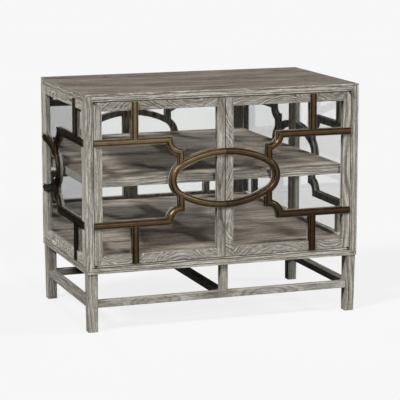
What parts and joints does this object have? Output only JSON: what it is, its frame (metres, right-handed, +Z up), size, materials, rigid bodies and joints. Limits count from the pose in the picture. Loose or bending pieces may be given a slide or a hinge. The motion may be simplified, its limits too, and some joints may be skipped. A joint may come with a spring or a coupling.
{
  "type": "glazed display cabinet",
  "caption": "Low glazed display cabinet on a leg and stretcher stand, with fretted doors and sides, a shelf and a mirrored back.",
  "frame": {"origin": "middle of the cabinet's whole depth and width, at floor level", "axes": "+Z up, front and doors towards -Y, +X to the right of someone facing the doors"},
  "size_m": [1.072, 0.6234, 0.868],
  "materials": {
    "limed_oak": "limed oak, open grain, satin",
    "board": "plain sheet board, matt",
    "bronze": "antique bronzed, satin",
    "brass": "aged brass, satin",
    "steel": "plated, satin",
    "catch": "matt moulded housing",
    "glass": "clear float glass",
    "mirror": "silvered glass"
  },
  "bodies": {
    "case": {"back_board": "board", "case_hinge_leaves": "brass", "floor_panel": "limed_oak", "left_side_fret": "bronze", "left_side_glass": "glass", "left_side_inner_fret": "limed_oak", "left_side_rails": "limed_oak", "left_side_stiles": "limed_oak", "leg_back_left": "limed_oak", "leg_back_right": "limed_oak", "leg_front_left": "limed_oak", "leg_front_right": "limed_oak", "magnet_catch": "catch", "mirror": "mirror", "post_back_left": "limed_oak", "post_back_right": "limed_oak", "post_front_left": "limed_oak", "post_front_right": "limed_oak", "rail_bottom_back": "limed_oak", "rail_bottom_front": "limed_oak", "rail_bottom_left": "limed_oak", "rail_bottom_right": "limed_oak", "rail_top_back": "limed_oak", "rail_top_front": "limed_oak", "rail_top_left": "limed_oak", "rail_top_right": "limed_oak", "right_side_fret": "bronze", "right_side_glass": "glass", "right_side_inner_fret": "limed_oak", "right_side_rails": "limed_oak", "right_side_stiles": "limed_oak", "shelf": "limed_oak", "shelf_rests": "steel", "stretcher_back": "limed_oak", "stretcher_centre": "limed_oak", "stretcher_front": "limed_oak", "stretcher_left": "limed_oak", "stretcher_right": "limed_oak", "strut_back": "limed_oak", "strut_front": "limed_oak", "top_panel": "limed_oak"},
    "left_door": {"left_door_bottom_rail": "limed_oak", "left_door_fret": "bronze", "left_door_glass": "glass", "left_door_hinge_leaves": "brass", "left_door_hinge_stile": "limed_oak", "left_door_inner_fret": "limed_oak", "left_door_meeting_stile": "limed_oak", "left_door_top_rail": "limed_oak", "left_strike_plate": "steel"},
    "right_door": {"right_door_bottom_rail": "limed_oak", "right_door_fret": "bronze", "right_door_glass": "glass", "right_door_hinge_leaves": "brass", "right_door_hinge_stile": "limed_oak", "right_door_inner_fret": "limed_oak", "right_door_meeting_stile": "limed_oak", "right_door_top_rail": "limed_oak", "right_strike_plate": "steel"}
  },
  "joints": [
    {"name": "left_door_hinge", "type": "hinge", "parent": "case", "child": "left_door", "pos_m": [-0.4965, -0.30725, 0.542], "axis": [0, 0, -1], "range_deg": [0, 110]},
    {"name": "right_door_hinge", "type": "hinge", "parent": "case", "child": "right_door", "pos_m": [0.4965, -0.30725, 0.542], "axis": [0, 0, 1], "range_deg": [0, 110]}
  ]
}
